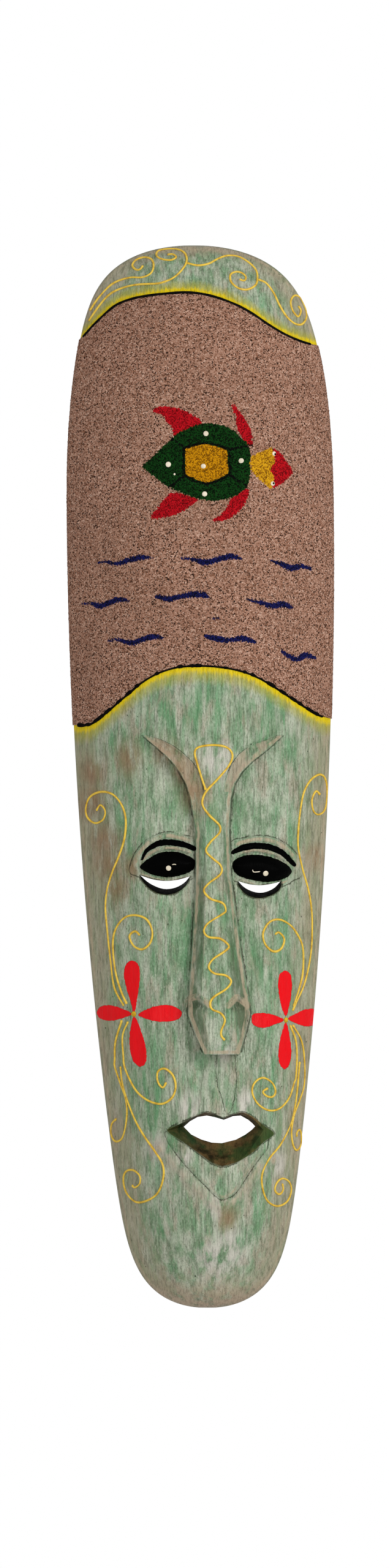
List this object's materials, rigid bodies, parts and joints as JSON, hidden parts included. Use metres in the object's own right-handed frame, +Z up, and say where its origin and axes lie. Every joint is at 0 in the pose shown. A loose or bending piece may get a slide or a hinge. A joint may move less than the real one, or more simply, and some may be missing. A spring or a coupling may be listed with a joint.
{
  "type": "wall mask",
  "caption": "Long carved wooden wall mask: a bowed shell with a high painted forehead, winged brows, long nose, slit eyes and open mouth, hollow behind, hung on a nail.",
  "frame": {"origin": "middle of the nail hole's mouth, in the plane of the flat back rim near the top end", "axes": "+Z up along the mask towards its crown, +Y into the wall, so the carved face looks along -Y, +X to the right seen from the front"},
  "size_m": [0.1248, 0.0515, 0.5],
  "materials": {
    "painted_wood": "pale wood washed with sage-green paint, worn to bare wood on the edges, satin varnish",
    "bare_wood": "raw gouged wood at the back",
    "sand_coat": "brown sand set in paint, rough, with painted figures",
    "relief_paste": "golden yellow paste lines squeezed on as a thin bead",
    "thick_paint": "drops of thick glossy paint"
  },
  "bodies": {
    "root": {"carved_mask": "painted_wood"}
  },
  "joints": []
}
